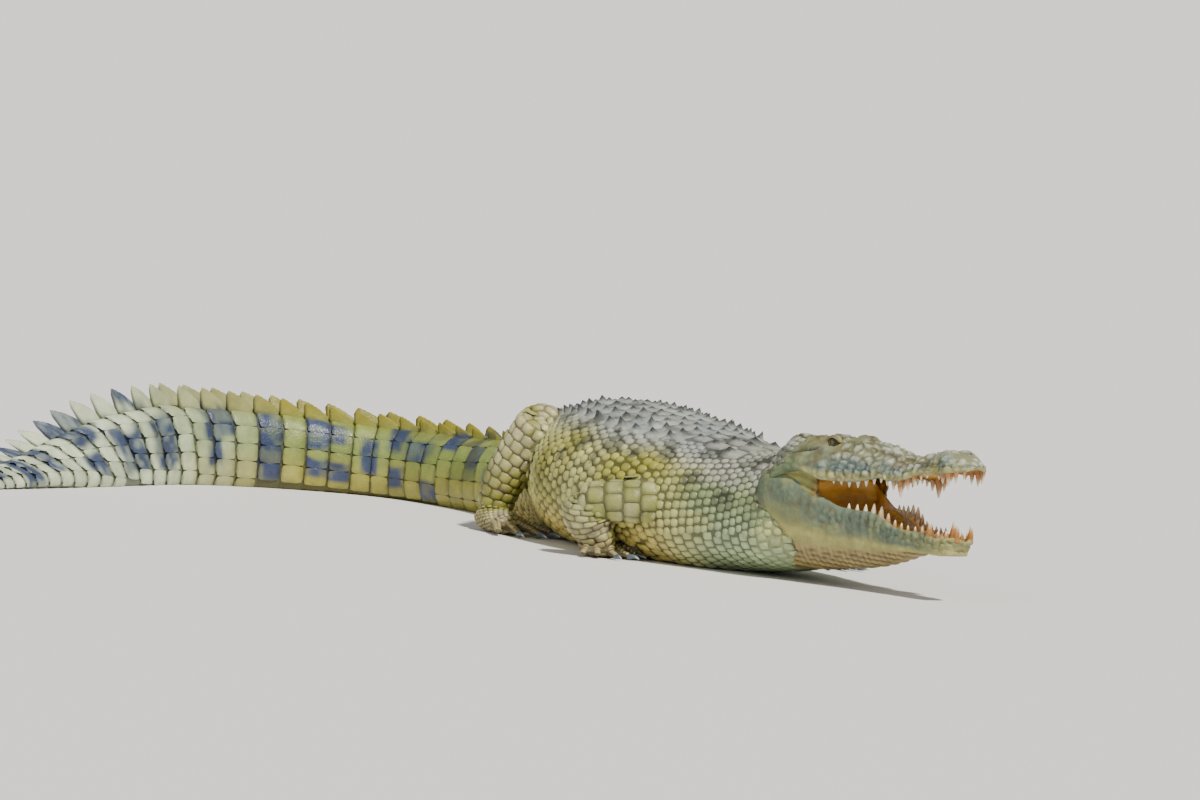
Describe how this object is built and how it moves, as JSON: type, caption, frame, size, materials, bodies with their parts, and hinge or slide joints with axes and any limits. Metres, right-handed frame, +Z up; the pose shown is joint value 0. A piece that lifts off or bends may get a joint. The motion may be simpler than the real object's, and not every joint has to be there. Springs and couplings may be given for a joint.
{
  "type": "crocodile",
  "caption": "Life-size adult Nile crocodile lying on its belly with open jaws, head turned to its left and tail curved to its right.",
  "frame": {"origin": "under the middle of the whole animal's box, on the floor", "axes": "+X to the right of the main view, along the longest side, with the head at +X; +Y away from the main view; +Z up"},
  "size_m": [2.3742, 2.0482, 0.3459],
  "materials": {
    "skin": "dry scaled hide, satin",
    "claw": "satin horn",
    "eye": "wet gloss",
    "mouth": "damp satin"
  },
  "bodies": {
    "root": {"claw_front_left_1": "claw", "claw_front_left_2": "claw", "claw_front_left_3": "claw", "claw_front_right_1": "claw", "claw_front_right_2": "claw", "claw_front_right_3": "claw", "claw_hind_left_1": "claw", "claw_hind_left_2": "claw", "claw_hind_left_3": "claw", "claw_hind_right_1": "claw", "claw_hind_right_2": "claw", "claw_hind_right_3": "claw", "eye_left": "eye", "eye_right": "eye", "foot_front_left": "skin", "foot_front_right": "skin", "foot_hind_left": "skin", "foot_hind_right": "skin", "head_upper": "skin", "jaw_lower": "skin", "leg_lower_front_left": "skin", "leg_lower_front_right": "skin", "leg_lower_hind_left": "skin", "leg_lower_hind_right": "skin", "leg_upper_front_left": "skin", "leg_upper_front_right": "skin", "leg_upper_hind_left": "skin", "leg_upper_hind_right": "skin", "neck": "skin", "tail_1": "skin", "tail_2": "skin", "tail_3": "skin", "tail_4": "skin", "tail_5": "skin", "tongue": "mouth", "trunk_front": "skin", "trunk_rear": "skin"}
  },
  "joints": []
}
